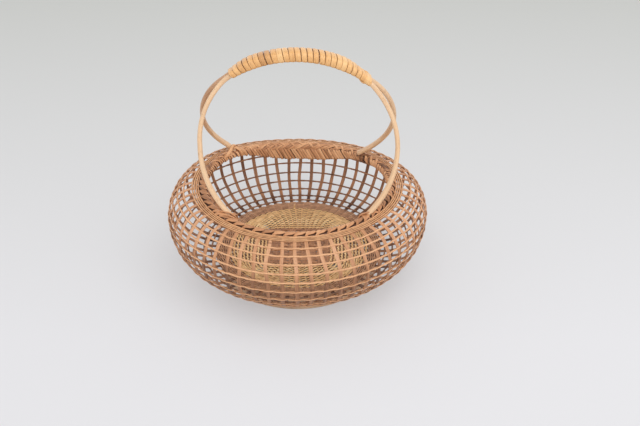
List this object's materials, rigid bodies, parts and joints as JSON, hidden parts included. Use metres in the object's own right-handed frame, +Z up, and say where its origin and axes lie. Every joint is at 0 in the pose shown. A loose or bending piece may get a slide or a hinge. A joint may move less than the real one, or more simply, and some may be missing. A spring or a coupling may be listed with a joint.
{
  "type": "bamboo hanging flower basket",
  "caption": "Round open-work bamboo basket with a braided rim, twined base and foot hoop, under an arched two-rod handle with a bound grip.",
  "frame": {"origin": "on the ground under the middle of the basket", "axes": "+Z up, the handle's arch spans along X, and the pictured front faces -Y"},
  "size_m": [0.3118, 0.3118, 0.2829],
  "materials": {
    "stakes": "satin",
    "hoops": "satin",
    "braid": "satin",
    "disc": "satin",
    "turn": "satin",
    "rods": "satin",
    "wrap": "satin",
    "foot": "satin"
  },
  "bodies": {
    "root": {"foot_ring": "foot", "base_disc": "disc", "turn_band": "turn", "rim_braid": "braid", "handle_rod_front": "rods", "handle_rod_back": "rods", "grip_splint": "rods", "grip_wrap": "wrap", "grip_tie": "wrap", "stake_lower_01": "stakes", "stake_upper_01": "stakes", "stake_lower_02": "stakes", "stake_upper_02": "stakes", "stake_lower_03": "stakes", "stake_upper_03": "stakes", "stake_lower_04": "stakes", "stake_upper_04": "stakes", "stake_lower_05": "stakes", "stake_upper_05": "stakes", "stake_lower_06": "stakes", "stake_upper_06": "stakes", "stake_lower_07": "stakes", "stake_upper_07": "stakes", "stake_lower_08": "stakes", "stake_upper_08": "stakes", "stake_lower_09": "stakes", "stake_upper_09": "stakes", "stake_lower_10": "stakes", "stake_upper_10": "stakes", "stake_lower_11": "stakes", "stake_upper_11": "stakes", "stake_lower_12": "stakes", "stake_upper_12": "stakes", "stake_lower_13": "stakes", "stake_upper_13": "stakes", "stake_lower_14": "stakes", "stake_upper_14": "stakes", "stake_lower_15": "stakes", "stake_upper_15": "stakes", "hoop_01": "hoops", "hoop_02": "hoops", "hoop_03": "hoops", "hoop_04": "hoops", "hoop_05": "hoops", "hoop_06": "hoops", "hoop_07": "hoops", "hoop_08": "hoops", "hoop_09": "hoops", "hoop_10": "hoops", "hoop_11": "hoops", "hoop_12": "hoops", "shoulder_row_1": "braid", "shoulder_row_2": "braid", "shoulder_row_3": "braid", "lashing_front_left": "wrap", "lashing_front_right": "wrap", "lashing_back_left": "wrap", "lashing_back_right": "wrap"}
  },
  "joints": []
}
